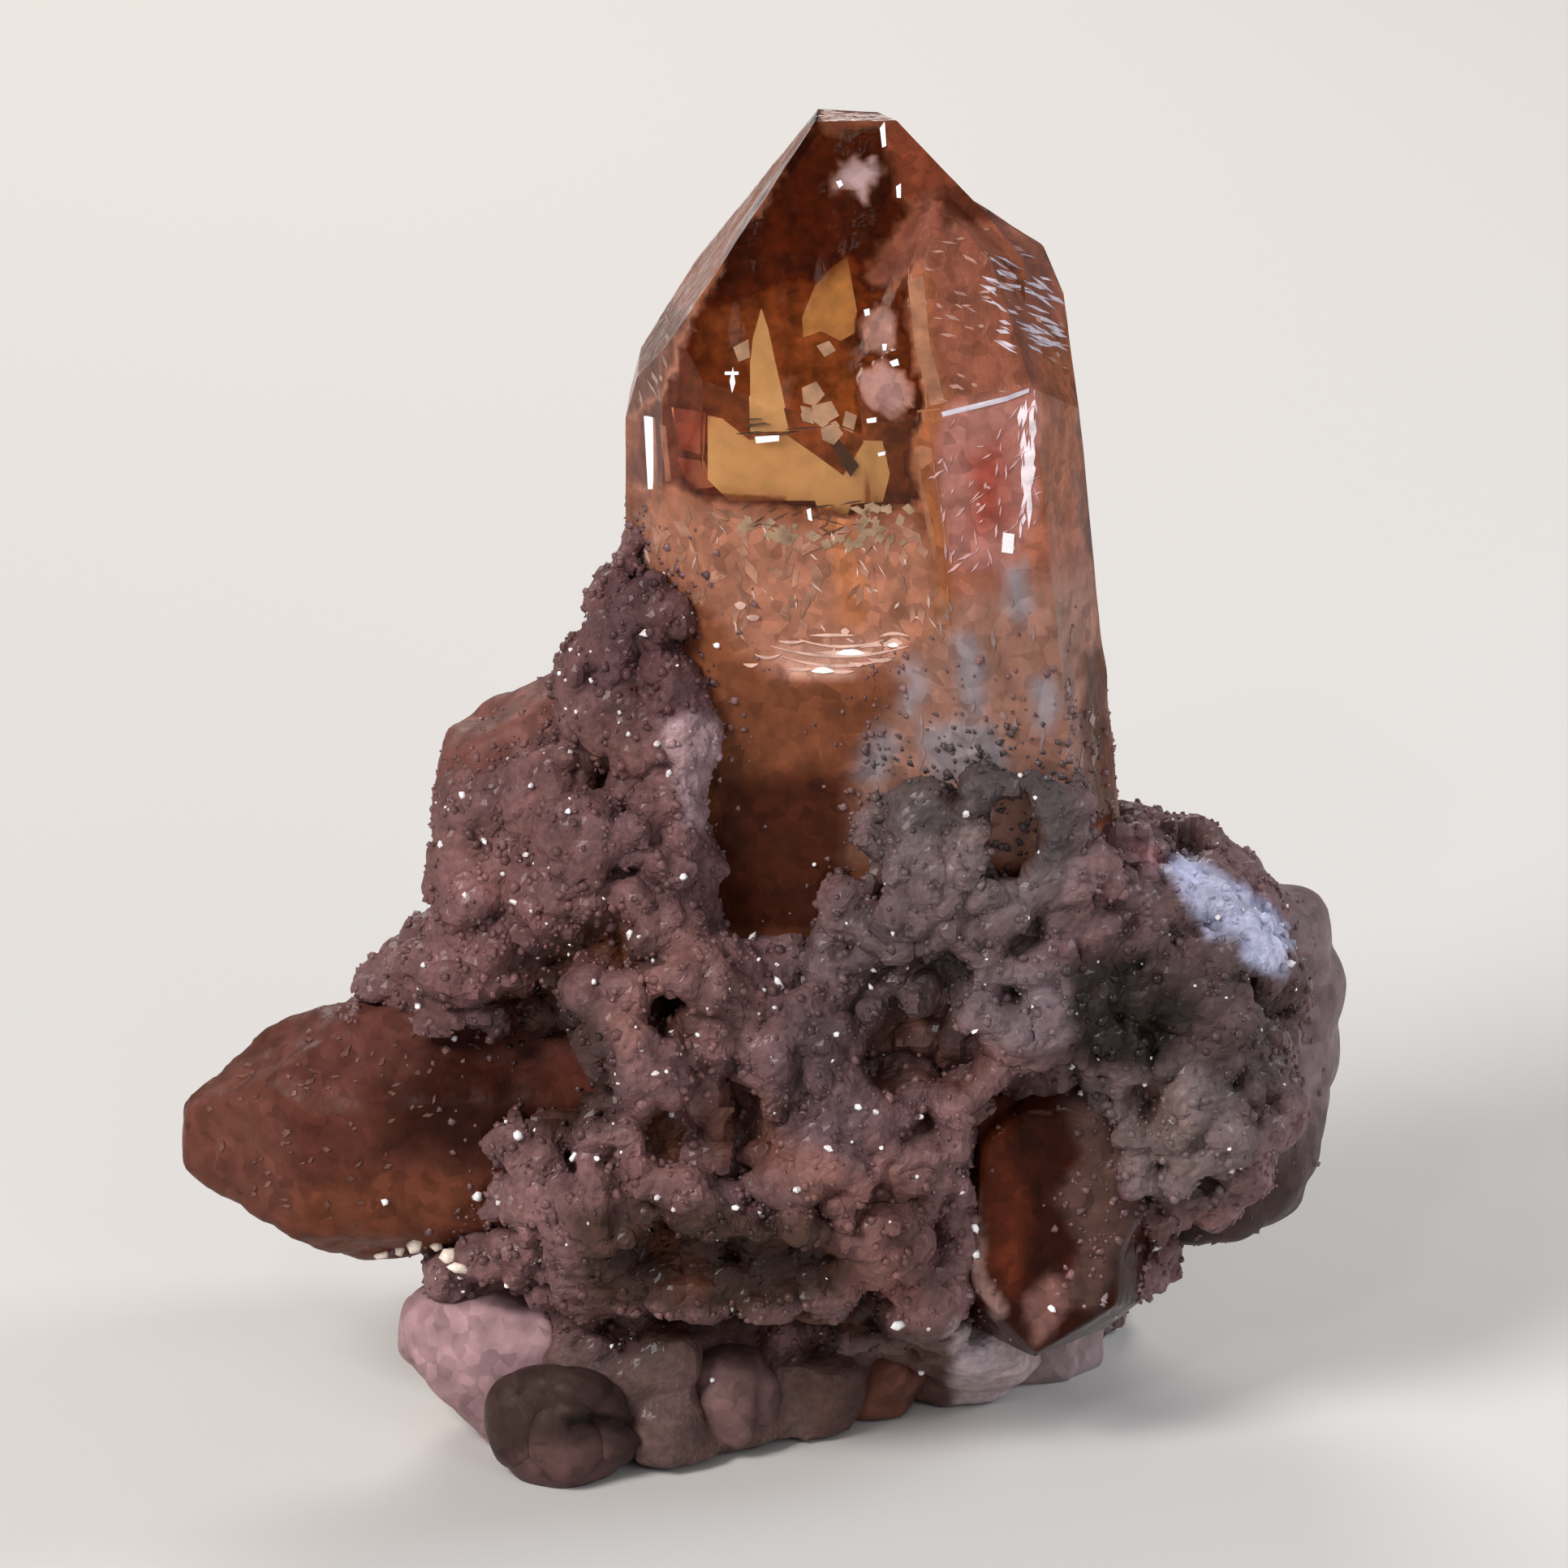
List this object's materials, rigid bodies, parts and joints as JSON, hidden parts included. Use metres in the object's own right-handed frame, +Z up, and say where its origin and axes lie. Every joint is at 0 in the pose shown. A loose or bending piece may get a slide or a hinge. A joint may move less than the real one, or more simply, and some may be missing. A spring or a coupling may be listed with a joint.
{
  "type": "topaz crystal specimen",
  "caption": "Sherry topaz crystals grown together on a sparkling crusty matrix, cut flat below so that the specimen stands.",
  "frame": {"origin": "on the flat underside that the specimen rests on, under the main crystal", "axes": "+Z up along the main crystal, -Y towards the front of the specimen, +X to its right"},
  "size_m": [0.0362, 0.0188, 0.0417],
  "materials": {
    "clear_topaz": "clear sherry-brown crystal with polished natural faces",
    "etched_topaz": "red-brown crystal, etched and slightly cloudy",
    "smoky_topaz": "smooth smoky grey crystal, cloudy inside",
    "milky_topaz": "milky lilac crystal",
    "crust": "mauve-brown granular crust with small sparkling grains"
  },
  "bodies": {
    "root": {"main_crystal": "clear_topaz", "left_crystal": "etched_topaz", "shoulder_crystal": "etched_topaz", "lower_right_crystal": "etched_topaz", "rear_right_crystal": "smoky_topaz", "milky_crystal": "milky_topaz", "foot_crystal_left": "smoky_topaz", "foot_crystal_middle": "smoky_topaz", "foot_crystal_centre": "smoky_topaz", "foot_crystal_right": "smoky_topaz", "matrix": "crust"}
  },
  "joints": []
}
